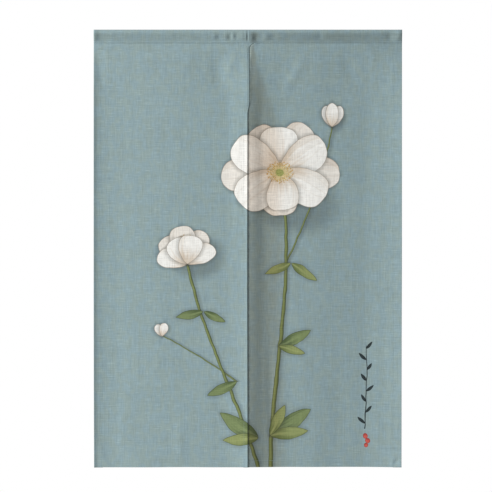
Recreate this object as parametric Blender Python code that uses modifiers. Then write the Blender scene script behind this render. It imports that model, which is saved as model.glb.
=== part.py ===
"""A doorway partition curtain: two hanging cloth panels, sewn together over the top fifth and free
below that, under one stitched rod pocket that takes a pole.

Metres, +Z up. X runs along the pole and the front faces -Y. The origin is the middle of the top edge.
A "drop" is a distance down from the top edge, and "forward" is a distance from the hanging plane
towards the front.
"""

import bmesh
import bpy
import numpy as np

MM = 0.001

# Driving sizes
HUNG_WIDTH = 0.845
HUNG_HEIGHT = 1.200
POCKET_HEIGHT = 0.037
SEWN_DOWN_TO = 0.215
CLOTH = 0.0010
HEM = 0.0020
OUTER_HEM_WIDTH = 0.024
SLIT_HEM_WIDTH = 0.012
FOOT_HEM_HEIGHT = 0.020
HEM_STEP = 0.0015
PIECE_GAP = 0.0005
LAP = 0.008
SEAM_GAP = 0.0004
SLIT_GAP = 0.0030
SLIT_RELEASE = 0.080
SLIT_EASE = 0.045
SEAM_PRESS = 0.0016
PRESS_WIDTH = 0.008

# Rod pocket
PASSAGE_RADIUS = 0.007
POCKET_WALL = 0.0012
POCKET_FOOT = 0.0055
POCKET_FOOT_HALF = 0.0012
POCKET_STATIONS = 17
ROUND_POINTS = 6
ROUND_START_DEGREES = -14

# Grid of each panel
FIELD_COLUMNS = 19
FIELD_ROWS = 29

# Levels down the curtain at which the fold tables give a depth
LEVELS = np.array([POCKET_HEIGHT, 0.120, SEWN_DOWN_TO, 0.600, HUNG_HEIGHT])

# Each fold line of the left panel, from its outer edge to the slit, in millimetres:
#    across at head, across at foot, forward at each of the five levels
LEFT_FOLDS = (
    (-422.5, -422.5, 0.5, 4.0, 5.5, 6.0, 7.0),
    (-414.0, -414.0, 0.5, 2.2, 3.2, 3.5, 4.2),
    (-404.0, -404.0, 0.5, 1.2, 2.0, 2.3, 2.9),
    (-384.0, -384.0, 0.5, 0.6, 1.0, 1.1, 1.5),
    (-350.0, -352.0, 0.5, 0.2, 0.4, 0.3, 0.5),
    (-300.0, -312.0, 0.5, 0.3, 0.3, 0.6, 0.9),
    (-200.0, -215.0, 0.5, 0.0, 0.0, -0.2, -0.9),
    (-120.0, -130.0, 0.5, -2.2, -1.6, -1.6, -2.0),
    (-62.0, -58.0, 0.5, -2.8, -2.6, -2.0, -2.4),
    (-28.0, -26.0, 0.5, -1.0, -0.5, -0.3, -0.5),
    (-8.0, -8.0, 0.5, 0.8, 1.4, 1.7, 1.7),
    (5.0, 5.0, 0.5, 3.0, 3.9, 4.4, 4.5),
)

# The same for the right panel, from beside the slit to its outer edge
RIGHT_FOLDS = (
    (0.0, 0.0, 0.5, -1.0, -1.0, -1.0, -1.0),
    (20.0, 20.0, 0.5, -3.4, -4.5, -4.4, -4.8),
    (36.0, 78.0, 0.5, -5.2, -7.7, -11.2, -13.0),
    (95.0, 118.0, 0.5, -6.8, -11.2, -13.5, -14.6),
    (170.0, 185.0, 0.5, -6.0, -11.0, -13.5, -14.0),
    (250.0, 250.0, 0.5, -7.5, -12.5, -15.0, -15.5),
    (318.0, 312.0, 0.5, -8.5, -13.0, -15.5, -16.0),
    (370.0, 366.0, 0.5, -6.0, -9.5, -11.5, -12.0),
    (400.0, 398.0, 0.5, -3.5, -5.5, -7.0, -7.0),
    (422.5, 422.5, 0.5, -0.5, -1.5, -2.5, -2.0),
)

# How far the sewn edge swings past the middle, in millimetres: drop, across
SLIT_LINE = (
    (37.0, 16.0),
    (42.0, 8.5),
    (48.0, 5.0),
    (70.0, 4.2),
    (200.0, 4.0),
    (232.0, -0.9),
    (700.0, -1.4),
    (1200.0, -0.4),
)

# Unevenness of the foot, in millimetres: across, how much shorter the cloth hangs
FOOT_LINE = (
    (-422.5, 0.6),
    (-290.0, 0.3),
    (-165.0, 0.8),
    (-90.0, 0.2),
    (0.0, 0.4),
    (55.0, 0.0),
    (110.0, 0.3),
    (165.0, 0.0),
    (270.0, 0.3),
    (390.0, 0.0),
    (422.5, 0.2),
)

# How far the outer edges draw in towards the foot, in millimetres: drop, left edge, right edge
SIDE_LINES = (
    (37.0, 0.0, 0.0),
    (600.0, 0.0, 0.0),
    (900.0, 0.3, 0.8),
    (1200.0, 1.3, 1.2),
)

# Puckers that stand out of the rod pocket's front, in millimetres: across, half width, forward
POCKET_PUCKERS = (
    (-407.0, 9.0, 1.2),
    (-104.0, 7.0, 0.9),
    (-85.0, 8.0, 1.4),
    (-63.0, 9.0, 1.6),
    (-30.0, 13.0, 1.0),
    (2.0, 8.0, 2.2),
    (30.0, 11.0, 1.5),
    (214.0, 16.0, 0.8),
    (402.0, 10.0, 1.6),
)


def smooth_through(knots, heights, at):
    """Heights at the places, on one cubic curve through every knot. It is level at each highest and
    lowest knot, so it never passes them, and runs straight on beyond the ends."""
    run = np.diff(knots, axis=0)
    rise = np.diff(heights, axis=0) / run
    steady = rise[:-1] * rise[1:] > 0
    total = np.where(steady, rise[:-1] + rise[1:], 1)
    inner = np.where(steady, 2 * rise[:-1] * rise[1:] / total, 0)
    slope = np.concatenate([rise[:1], inner, rise[-1:]])
    result = heights[0] + slope[0] * (at - knots[0])
    for i, length in enumerate(run):
        t = (at - knots[i]) / length
        curve = (
            heights[i] * (2 * t**3 - 3 * t**2 + 1)
            + heights[i + 1] * (3 * t**2 - 2 * t**3)
            + slope[i] * length * (t**3 - 2 * t**2 + t)
            + slope[i + 1] * length * (t**3 - t**2)
        )
        result = np.where(t > 0, curve, result)
    beyond = heights[-1] + slope[-1] * (at - knots[-1])
    return np.where(at > knots[-1], beyond, result)


def eased(t):
    """0 before 0, 1 after 1, and a smooth rise between them."""
    t = np.clip(t, 0, 1)
    return t * t * (3 - 2 * t)


def slit_line(drop):
    """Where the left panel's free edge lies across, at each drop."""
    table = np.array(SLIT_LINE) * MM
    return smooth_through(table[:, 0], table[:, 1], drop)


def left_side(drop):
    """Where the left panel's outer edge lies across, at each drop."""
    table = np.array(SIDE_LINES) * MM
    return smooth_through(table[:, 0], table[:, 1], drop) - HUNG_WIDTH / 2


def right_side(drop):
    """Where the right panel's outer edge lies across, at each drop."""
    table = np.array(SIDE_LINES) * MM
    return HUNG_WIDTH / 2 - smooth_through(table[:, 0], table[:, 2], drop)


def folds_forward(folds, across, drop):
    """Depth of a panel: a curve down each fold line, then a curve across all of them."""
    table = np.array(folds) * MM
    share = (drop - POCKET_HEIGHT) / (HUNG_HEIGHT - POCKET_HEIGHT)
    lines = np.stack([head + (foot - head) * share for head, foot in table[:, :2]])
    depths = np.stack([smooth_through(LEVELS, row, drop) for row in table[:, 2:]])
    return smooth_through(lines, depths, across)


def seam_press(across, drop):
    """How far the seam presses the lapped strip back: in full at its edge, and only where it is sewn."""
    beside = eased((across - slit_line(drop) + PRESS_WIDTH) / PRESS_WIDTH)
    return SEAM_PRESS * beside * eased((drop - 0.040) / 0.015) * eased((SEWN_DOWN_TO + 0.022 - drop) / 0.030)


def left_forward(across, drop):
    return folds_forward(LEFT_FOLDS, across, drop) - seam_press(across, drop)


def right_forward(across, drop):
    """The right panel's own folds, eased at the slit into a strip parallel to the left panel's back."""
    edge = slit_line(drop)
    gap = SEAM_GAP + (SLIT_GAP - SEAM_GAP) * eased((drop - SEWN_DOWN_TO) / SLIT_RELEASE)
    behind = left_forward(np.minimum(across, edge), drop) - HEM - gap
    own = folds_forward(RIGHT_FOLDS, across, drop)
    beside = 1 - np.clip((across - edge) / SLIT_EASE, 0, 1)
    return behind + (own - behind) * (1 - beside**2)


def column_places(start, end, start_steps, end_steps):
    """Across places of each row's columns: hem columns at both edges, and even ones between them."""
    first = start[:, None] + np.array(start_steps)
    last = end[:, None] - np.array(end_steps)
    share = np.linspace(0, 1, FIELD_COLUMNS + 2)[1:-1]
    field = first[:, -1:] + (last[:, :1] - first[:, -1:]) * share
    return np.concatenate([first, field, last], axis=1)


def row_shares():
    """Shares of a panel's length for its rows, with two close rows where the foot hem begins."""
    length = HUNG_HEIGHT - POCKET_HEIGHT
    hem_top = 1 - FOOT_HEM_HEIGHT / length
    near_head = np.array([0, 0.012, 0.028])
    field = np.linspace(near_head[-1], hem_top - HEM_STEP / length, FIELD_ROWS)[1:]
    return np.concatenate([near_head, field, [hem_top, 1]])


def grid_faces(rows, columns):
    corner = np.arange((rows - 1) * columns).reshape(rows - 1, columns)[:, :-1]
    return np.stack([corner, corner + 1, corner + columns + 1, corner + columns], axis=-1).reshape(-1, 4)


def make_object(name, points, faces, material, collection):
    mesh = bpy.data.meshes.new(name)
    mesh.from_pydata(points.tolist(), [], [face.tolist() for face in faces])
    mesh.materials.append(material)
    mesh.shade_smooth()
    obj = bpy.data.objects.new(name, mesh)
    collection.objects.link(obj)
    return obj


def make_panel(name, start, end, start_steps, end_steps, forward, material, collection):
    """A panel: a folded grid surface, thickened to its back, twice as thick in its hems."""
    shares = row_shares()
    level = POCKET_HEIGHT + PIECE_GAP
    plain_drop = level + shares * (HUNG_HEIGHT - level)
    across = column_places(start(plain_drop), end(plain_drop), start_steps, end_steps)
    foot_table = np.array(FOOT_LINE) * MM
    shorter = smooth_through(foot_table[:, 0], foot_table[:, 1], across)
    drop = plain_drop[:, None] - shorter * shares[:, None]
    points = np.stack([across, -forward(across, drop), -drop], axis=-1)
    rows, columns = across.shape
    obj = make_object(name, points.reshape(-1, 3), grid_faces(rows, columns)[:, ::-1], material, collection)

    hemmed = np.zeros((rows, columns), bool)
    hemmed[:, : len(start_steps) - 1] = True
    hemmed[:, 1 - len(end_steps) :] = True
    hemmed[-2:] = True
    group = obj.vertex_groups.new(name="hems")
    group.add(np.flatnonzero(hemmed).tolist(), 1.0, "REPLACE")

    cloth = obj.modifiers.new("cloth", "SOLIDIFY")
    cloth.thickness = HEM
    cloth.vertex_group = group.name
    cloth.thickness_vertex_group = CLOTH / HEM
    cloth.offset = -1
    return obj


def pocket_outline(radius, foot_drop, foot_half, foot_height):
    """Half outlines of a pocket section, front then back: a sewn foot, straight walls that open
    upwards, and a round over the pole. Rows are (forward, drop)."""
    centre = POCKET_WALL + PASSAGE_RADIUS
    turn = np.linspace(np.radians(ROUND_START_DEGREES), np.pi / 2, ROUND_POINTS)
    over = np.stack([radius * np.cos(turn), centre - radius * np.sin(turn)], axis=-1)
    foot = [(foot_half, foot_drop)]
    if foot_height > 0:
        foot.append((foot_half, foot_drop - foot_height))
    wall_middle = (0.55 * radius + 0.45 * foot_half, 0.5 * (centre + foot_drop - foot_height))
    front = np.array(foot + [wall_middle] + over.tolist())
    back = front[-2::-1] * (-1, 1)
    return np.concatenate([front, back])


def make_loft(name, outline, stations, swell, material, collection):
    """A closed bar: the outline repeated at each station along X, and its front swollen there."""
    forward, drop = outline[:, 0], outline[:, 1]
    across = np.repeat(stations[:, None], len(outline), axis=1)
    strength = np.clip(forward / PASSAGE_RADIUS, 0, 1) * eased((POCKET_HEIGHT - drop) / POCKET_FOOT)
    ahead = forward + swell(across) * strength
    points = np.stack([across, -ahead, np.broadcast_to(-drop, across.shape)], axis=-1).reshape(-1, 3)
    count, around = across.shape
    start = np.arange((count - 1) * around).reshape(count - 1, around)
    turned = np.roll(start, -1, axis=1)
    sides = np.stack([start, turned, turned + around, start + around], axis=-1).reshape(-1, 4)
    obj = make_object(name, points, sides, material, collection)
    mesh = bmesh.new()
    mesh.from_mesh(obj.data)
    bmesh.ops.holes_fill(mesh, edges=[edge for edge in mesh.edges if edge.is_boundary], sides=0)
    bmesh.ops.recalc_face_normals(mesh, faces=mesh.faces)
    mesh.to_mesh(obj.data)
    mesh.free()
    return obj


def pocket_swell(across):
    """How far the pocket's front stands out at each place: its puckers, pinched between them."""
    total = np.zeros_like(across)
    for middle, half, forward in np.array(POCKET_PUCKERS) * MM:
        total += forward * eased(1 - np.abs(across - middle) / half)
    return total


def make_rod_pocket(material, collection, cutters):
    """The doubled band across the top: a sleeve for the pole, stitched flat along its foot."""
    half = HUNG_WIDTH / 2
    table = np.array(POCKET_PUCKERS) * MM
    pucker_places = (table[:, :1] + table[:, 1:2] * np.array([-1, -0.7, -0.35, 0, 0.35, 0.7, 1])).ravel()
    plain = np.linspace(-half, half, POCKET_STATIONS)
    clear = (np.abs(plain[:, None] - table[:, 0]) > 1.2 * table[:, 1]).all(axis=1)
    ends = np.abs(plain) > half - MM
    places = np.concatenate([plain[clear | ends], pucker_places])
    stations = np.unique(np.round(places[np.abs(places) <= half], 5))
    outline = pocket_outline(PASSAGE_RADIUS + POCKET_WALL, POCKET_HEIGHT, POCKET_FOOT_HALF, POCKET_FOOT)
    pocket = make_loft("rod_pocket", outline, stations, pocket_swell, material, collection)

    bore = pocket_outline(PASSAGE_RADIUS, POCKET_HEIGHT - POCKET_FOOT, POCKET_FOOT_HALF / 3, 0)
    past_ends = np.array([-half - 0.01, half + 0.01])
    cutter = make_loft("pole_passage", bore, past_ends, np.zeros_like, material, cutters)
    cutter.hide_render = True
    cutter.display_type = "WIRE"
    passage = pocket.modifiers.new("pole passage", "BOOLEAN")
    passage.object = cutter
    return pocket


def make_material(name, colour, roughness):
    material = bpy.data.materials.new(name)
    material.use_nodes = True
    shader = material.node_tree.nodes["Principled BSDF"]
    shader.inputs["Base Color"].default_value = (*colour, 1)
    shader.inputs["Roughness"].default_value = roughness
    shader.inputs["Metallic"].default_value = 0.0
    return material


def make_collection(name):
    collection = bpy.data.collections.new(name)
    bpy.context.scene.collection.children.link(collection)
    return collection


for old in list(bpy.data.objects):
    bpy.data.objects.remove(old)

curtain = make_collection("partition_curtain")
helpers = make_collection("cutters")
outer_steps = [0, 0.35 * OUTER_HEM_WIDTH, OUTER_HEM_WIDTH, OUTER_HEM_WIDTH + HEM_STEP]
slit_steps = [0, LAP, SLIT_HEM_WIDTH, SLIT_HEM_WIDTH + HEM_STEP, 2 * SLIT_HEM_WIDTH]

make_panel(
    "left_panel",
    left_side,
    slit_line,
    outer_steps,
    slit_steps[::-1],
    left_forward,
    make_material("left_cloth", (0.27, 0.36, 0.37), 0.9),
    curtain,
)
make_panel(
    "right_panel",
    lambda drop: slit_line(drop) - LAP,
    right_side,
    slit_steps,
    outer_steps[::-1],
    right_forward,
    make_material("right_cloth", (0.26, 0.35, 0.36), 0.9),
    curtain,
)
make_rod_pocket(make_material("pocket_cloth", (0.25, 0.34, 0.34), 0.9), curtain, helpers)
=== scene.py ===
"""A doorway partition curtain of linen-look cloth: two panels sewn together over the top fifth and
free below, hanging from one stitched rod pocket, with a printed spray of white blossoms.

A drop is a distance down from the top edge, and forward is a distance out of the hanging plane
towards the front, which faces -Y.
"""

from functools import partial

import bpy
import numpy as np
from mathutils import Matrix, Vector


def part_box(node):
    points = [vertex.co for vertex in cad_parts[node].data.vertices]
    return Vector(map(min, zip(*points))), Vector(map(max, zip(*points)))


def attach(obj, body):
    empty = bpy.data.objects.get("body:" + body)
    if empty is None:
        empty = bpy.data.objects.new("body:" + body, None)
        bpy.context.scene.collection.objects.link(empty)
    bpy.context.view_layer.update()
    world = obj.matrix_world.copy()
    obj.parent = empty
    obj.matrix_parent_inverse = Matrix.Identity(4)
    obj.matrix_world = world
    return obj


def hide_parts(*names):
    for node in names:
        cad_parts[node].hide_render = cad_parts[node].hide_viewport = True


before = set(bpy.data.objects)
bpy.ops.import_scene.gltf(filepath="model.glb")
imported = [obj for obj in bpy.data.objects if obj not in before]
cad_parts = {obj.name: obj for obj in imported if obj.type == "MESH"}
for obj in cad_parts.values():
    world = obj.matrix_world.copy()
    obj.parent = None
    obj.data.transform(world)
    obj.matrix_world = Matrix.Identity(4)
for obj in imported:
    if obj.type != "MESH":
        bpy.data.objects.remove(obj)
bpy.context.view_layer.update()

# Left panel
#    One length of plain-weave cloth, hung in shallow folds. Its side hems and its foot are turned once
#    to the back and stitched, and its inner edge laps over the right panel.

MM = 0.001
pocket_low, pocket_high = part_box("rod_pocket")
HALF_WIDTH = pocket_high[0]
POCKET_HEIGHT = -pocket_low[2]
HUNG_HEIGHT = round(-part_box("left_panel")[0][2], 3)
SEWN_DOWN_TO = 0.215
SEWN_GAP = 0.0017
FREE_GAP = 0.0027
SLIT_RELEASE = 0.08
SLIT_EASE = 0.045
SEAM_PRESS = 0.0016
PRESS_WIDTH = 0.008
SEAM_HEAD = 0.04
LAP = 0.008

CLOTH = 0.0006
HEM_LAYERS = 0.0013
OUTER_HEM = 0.024
SLIT_HEM = 0.012
FOOT_HEM = 0.02
STITCH_INSET = 0.002
STITCH_PINCH = 0.0003
PINCH_HALF = 0.0012
HEM_WAVER = 0.00022
HEM_STEP = 0.0035
CROSSED_LAYERS = 2.2
TUCKED = 0.003
COLUMNS = 84
ROWS = 240

LEVELS = np.array([0.037, 0.12, 0.215, 0.6, 1.2])

# Fold lines from the outer edge to the slit, in millimetres:
#    across at head, across at foot, forward at each of the five levels
LEFT_FOLDS = (
    (-422.5, -422.5, 0.5, 4, 5.5, 6, 7),
    (-414, -414, 0.5, 2.2, 3.2, 3.5, 4.2),
    (-404, -404, 0.5, 1.2, 2, 2.3, 2.9),
    (-384, -384, 0.5, 0.6, 1, 1.1, 1.5),
    (-350, -352, 0.5, 0.2, 0.4, 0.3, 0.5),
    (-300, -312, 0.5, 0.3, 0.3, 0.6, 0.9),
    (-200, -215, 0.5, 0, 0, -0.2, -0.9),
    (-120, -130, 0.5, -2.2, -1.6, -1.6, -2),
    (-62, -58, 0.5, -2.8, -2.6, -2, -2.4),
    (-28, -26, 0.5, -1, -0.5, -0.3, -0.5),
    (-8, -8, 0.5, 0.8, 1.4, 1.7, 1.7),
    (5, 5, 0.5, 3, 3.9, 4.4, 4.5),
)

# The panel's inner edge, in millimetres: drop, across
SLIT_LINE = ((37, 16), (42, 8.5), (48, 5), (70, 4.2), (200, 4), (232, -0.9), (700, -1.4), (1200, -0.4))

# Unevenness of the foot, in millimetres: across, how much shorter the cloth hangs
FOOT_LINE = (
    *((-422.5, 0.6), (-290, 0.3), (-165, 0.8), (-90, 0.2), (0, 0.4), (55, 0)),
    *((110, 0.3), (165, 0), (270, 0.3), (390, 0), (422.5, 0.2)),
)

# How far the outer edges draw in towards the foot, in millimetres: drop, left edge, right edge
SIDE_LINES = ((37, 0, 0), (600, 0, 0), (900, 0.3, 0.8), (1200, 1.3, 1.2))

# Soft creases of the left panel, in millimetres: from across, drop to across, drop, half width, forward
LEFT_CREASES = (
    (-92, 44, -70, 190, 24, -2.4),
    (-30, 40, -66, 150, 12, 0.9),
    (-150, 42, -172, 130, 16, 0.7),
    (-400, 44, -372, 96, 9, 0.8),
    (-414, 50, -396, 190, 7, -0.6),
    (-250, 640, -236, 1010, 34, 0.8),
    (-330, 980, -352, 1196, 18, 0.7),
    (-84, 930, -66, 1200, 20, -0.9),
    (-182, 1060, -190, 1200, 16, 0.9),
    (-24, 232, -32, 420, 9, 0.5),
    (-412, 1130, -386, 1198, 9, 0.8),
)


def smooth_through(knots, heights, at):
    """Heights at the places, on one cubic curve through every knot. It is level at each highest and
    lowest knot, so it never passes them, and runs straight on beyond the ends."""
    run = np.diff(knots, axis=0)
    rise = np.diff(heights, axis=0) / run
    steady = rise[:-1] * rise[1:] > 0
    total = np.where(steady, rise[:-1] + rise[1:], 1)
    inner = np.where(steady, 2 * rise[:-1] * rise[1:] / total, 0)
    slope = np.concatenate([rise[:1], inner, rise[-1:]])
    result = heights[0] + slope[0] * (at - knots[0])
    for i, length in enumerate(run):
        t = (at - knots[i]) / length
        curve = (
            heights[i] * (2 * t**3 - 3 * t**2 + 1)
            + heights[i + 1] * (3 * t**2 - 2 * t**3)
            + slope[i] * length * (t**3 - 2 * t**2 + t)
            + slope[i + 1] * length * (t**3 - t**2)
        )
        result = np.where(t > 0, curve, result)
    beyond = heights[-1] + slope[-1] * (at - knots[-1])
    return np.where(at > knots[-1], beyond, result)


def eased(t):
    """0 before 0, 1 after 1, and a smooth rise between them."""
    t = np.clip(t, 0, 1)
    return t * t * (3 - 2 * t)


def bell(off, half):
    """1 in the middle, falling off as a bell whose half width is given."""
    return np.exp(-((off / half) ** 2))


def listed_line(rows, at, column=1):
    """One column of a list of places, in metres, on a smooth curve against its first column."""
    table = np.array(rows) * MM
    return smooth_through(table[:, 0], table[:, column], at)


def slit_line(drop):
    """Where the left panel's inner edge lies across, at each drop."""
    return listed_line(SLIT_LINE, drop)


def left_side(drop):
    """Where the left panel's outer edge lies across, at each drop."""
    return listed_line(SIDE_LINES, drop) - HALF_WIDTH


def folds_forward(folds, across, drop):
    """Depth of a panel: a curve down each fold line, then a curve across all of them."""
    table = np.array(folds) * MM
    share = (drop - LEVELS[0]) / (LEVELS[-1] - LEVELS[0])
    lines = np.stack([head + (foot - head) * share for head, foot in table[:, :2]])
    depths = np.stack([smooth_through(LEVELS, row, drop) for row in table[:, 2:]])
    return smooth_through(lines, depths, across)


def creases_forward(creases, across, drop):
    """Sum of soft ridges: each a bell across its line, times an eased rise and fall along it."""
    total = np.zeros_like(across)
    for x0, z0, x1, z1, half, forward in np.array(creases) * MM:
        length = np.hypot(x1 - x0, z1 - z0)
        along = ((across - x0) * (x1 - x0) + (drop - z0) * (z1 - z0)) / length**2
        aside = ((across - x0) * (z1 - z0) - (drop - z0) * (x1 - x0)) / length
        total += forward * bell(aside, half) * eased(along / 0.4) * eased((1 - along) / 0.4)
    return total


def hem_ripple(inset, along, hem):
    """The slight waver of a stitched hem: two uneven waves along it, fading into the panel."""
    wave = np.sin(along * 285 + 1.8 * np.sin(along * 61)) + 0.6 * np.sin(along * 171 + 2)
    return HEM_WAVER * wave * bell(inset, 1.3 * hem)


def seam_press(across, drop):
    """How far the seam presses the lapped strip back: in full at its edge, and only where it is sewn."""
    beside = eased((across - slit_line(drop) + PRESS_WIDTH) / PRESS_WIDTH)
    sewn = eased((drop - SEAM_HEAD) / 0.015) * eased((SEWN_DOWN_TO + 0.022 - drop) / 0.03)
    return SEAM_PRESS * beside * sewn


def left_plain_forward(across, drop):
    return folds_forward(LEFT_FOLDS, across, drop) - seam_press(across, drop)


def left_forward(across, drop):
    """The left panel's folds, its creases, and the waver of its two side hems."""
    return (
        left_plain_forward(across, drop)
        + creases_forward(LEFT_CREASES, across, drop)
        + hem_ripple(across - left_side(drop), drop, OUTER_HEM)
        + hem_ripple(across - slit_line(drop), drop + 0.13, SLIT_HEM) * eased((drop - 0.05) / 0.1)
    )


def hem_walk(width):
    """The walk of a turned hem, from its inner end behind the cloth, round the edge, to the front.
    Returns insets from the edge, depths behind the front, and signed insets of the flat cloth."""
    radius = HEM_LAYERS / 2
    stitch = width - STITCH_INSET
    turn = np.linspace(np.pi / 2, -np.pi / 2, 7)[1:-1]
    even = np.linspace(HEM_STEP, stitch - 0.0015, 5)
    back = np.hstack([[width, width - 0.0008, stitch], even[::-1], [radius]])
    front = np.hstack([[radius], even, [stitch, stitch + 0.0015, width + 0.001]])
    pinch_back = HEM_LAYERS - STITCH_PINCH * bell(back - stitch, PINCH_HALF)
    pinch_front = STITCH_PINCH / 5 * bell(front - stitch, PINCH_HALF)
    inset = np.hstack([back, radius - radius * np.cos(turn), front])
    behind = np.hstack([pinch_back, radius + radius * np.sin(turn), pinch_front])
    flat = np.hstack([-back, -radius * np.sin(turn), front])
    return inset, behind, flat


def panel_grid(start, end, start_hem, end_hem, forward):
    """Points and flat places of a hemmed panel, as grids of rows down and columns across. Columns are
    the start hem's walk, even field columns, and the end hem's walk back. Rows run from the tucked
    head to the foot, and round its hem to the back. Where two hems cross, the layers stack."""
    inset, behind, flat = hem_walk(start_hem)
    end_inset, end_behind, end_flat = (values[::-1] for values in hem_walk(end_hem))
    foot_inset, foot_behind, foot_flat = (values[::-1] for values in hem_walk(FOOT_HEM))
    head = POCKET_HEIGHT - TUCKED
    field_foot = HUNG_HEIGHT - foot_inset[0]
    steps = np.linspace(0, 1, ROWS)
    field_drop = head + (field_foot - head) * (0.6 * steps + 0.4 * steps**2)
    drop = np.hstack([field_drop, HUNG_HEIGHT - foot_inset[1:]])[:, None]
    fold = np.hstack([np.zeros(ROWS), foot_behind[1:] / HEM_LAYERS])[:, None]
    flat_drop = np.hstack([field_drop, HUNG_HEIGHT - foot_flat[1:]])[:, None]

    first = start(drop)
    last = end(drop)
    share = np.linspace(0, 1, COLUMNS + 2)[1:-1]
    inner_start = first + inset[-1]
    inner_end = last - end_inset[0]
    field = inner_start + (inner_end - inner_start) * share
    across = np.hstack([first + inset, field, last - end_inset])
    flat_across = np.hstack([first + flat, field, last - end_flat])
    layer = np.hstack([behind, np.zeros(COLUMNS), end_behind])
    crossed = np.full(len(inset), CROSSED_LAYERS * HEM_LAYERS)
    stack = np.hstack([crossed, np.full(COLUMNS, HEM_LAYERS), crossed])

    drop = drop - listed_line(FOOT_LINE, across) * eased(drop / HUNG_HEIGHT)
    depth = layer + fold * (stack - 2 * layer)
    points = np.stack([across, -forward(across, drop) + depth, -drop], axis=-1)
    return points, np.stack([flat_across, np.broadcast_to(-flat_drop, across.shape)], axis=-1)


def new_piece(name, points, faces, materials):
    mesh = bpy.data.meshes.new(name)
    mesh.from_pydata(points.reshape(-1, 3), [], faces)
    mesh.shade_smooth()
    for material in materials:
        mesh.materials.append(material)
    obj = bpy.data.objects.new(name, mesh)
    bpy.context.scene.collection.objects.link(obj)
    return obj


def sheet_piece(name, points, flat, materials):
    """A sheet from one grid of points, with the flat cloth's places, in metres, as its UV map. It gets
    its thickness towards its back, which takes the second material."""
    rows, columns = points.shape[:2]
    corner = np.arange((rows - 1) * columns).reshape(rows - 1, columns)[:, :-1].ravel()
    faces = np.stack([corner, corner + columns, corner + columns + 1, corner + 1], axis=-1)
    obj = new_piece(name, points, faces, materials)
    places = obj.data.uv_layers.new(name="flat cloth")
    places.data.foreach_set("uv", flat.reshape(-1, 2)[faces.ravel()].ravel())
    cloth = obj.modifiers.new("cloth", "SOLIDIFY")
    cloth.thickness = CLOTH
    cloth.offset = -1
    cloth.material_offset = 1
    return obj


def join(value, socket):
    """Links a socket's value to an input, or sets the input to a plain value."""
    if isinstance(value, bpy.types.NodeSocket):
        socket.id_data.links.new(value, socket)
    else:
        socket.default_value = value


def add_node(kind, inputs, **settings):
    """A shader node in the tree of its linked inputs. Its settings are made before its inputs."""
    tree = next(value.id_data for value in inputs.values() if isinstance(value, bpy.types.NodeSocket))
    node = tree.nodes.new("ShaderNode" + kind)
    for name, setting in settings.items():
        setattr(node, name, setting)
    for key, value in inputs.items():
        join(value, node.inputs[key])
    return node


def math(operation, *values):
    return add_node("Math", dict(enumerate(values)), operation=operation).outputs[0]


plus = partial(math, "ADD")
minus = partial(math, "SUBTRACT")
times = partial(math, "MULTIPLY")
times_plus = partial(math, "MULTIPLY_ADD")
over = partial(math, "DIVIDE")


def vector(operation, *values):
    return add_node("VectorMath", dict(enumerate(values)), operation=operation).outputs["Vector"]


def ramp(value, low, high, to_low=0, to_high=1):
    """A smooth step of the value from low to high."""
    given = dict(enumerate((value, low, high, to_low, to_high)))
    return add_node("MapRange", given, interpolation_type="SMOOTHSTEP").outputs["Result"]


def fade(value, low, high, most=1):
    """A smooth step of the value from low to high, from the most down to nothing."""
    return ramp(value, low, high, most, 0)


def mix(share, first, second):
    return add_node("Mix", {"Factor": share, "A": first, "B": second}, data_type="RGBA").outputs["Result"]


def split(place):
    node = add_node("SeparateXYZ", {0: place})
    return node.outputs["X"], node.outputs["Y"]


def paired(across, up):
    return add_node("CombineXYZ", {0: across, 1: up}).outputs[0]


def noise(place, scale, detail=2, dimensions="2D"):
    """Noise of one cell for each length in the scale, along X and Y."""
    mapped = add_node("Mapping", {"Vector": place, "Scale": (1 / scale[0], 1 / scale[1], 1)}).outputs[0]
    given = {"Vector": mapped, "Scale": 1, "Detail": detail}
    return add_node("TexNoise", given, noise_dimensions=dimensions).outputs["Fac"]


def new_group(name, inputs, outputs):
    """A shader node group: its tree, its input sockets by name, and its output node's sockets. Inputs
    and outputs list their names by kind of socket."""
    tree = bpy.data.node_groups.new(name, "ShaderNodeTree")
    for way, kinds in (("INPUT", inputs), ("OUTPUT", outputs)):
        for kind, labels in kinds.items():
            for label in labels.split(", "):
                tree.interface.new_socket(label, in_out=way, socket_type="NodeSocket" + kind)
    entry = tree.nodes.new("NodeGroupInput")
    leave = tree.nodes.new("NodeGroupOutput")
    return tree, entry.outputs, leave.inputs


def place_group(group, *values):
    """Puts a group beside what it is given. Its values are in the order of its inputs."""
    return add_node("Group", dict(enumerate(values)), node_tree=group).outputs


def new_material(name):
    """A new material, its tree and its Principled shader."""
    material = bpy.data.materials.new(name)
    material.use_nodes = True
    return material, material.node_tree, material.node_tree.nodes["Principled BSDF"]


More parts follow.
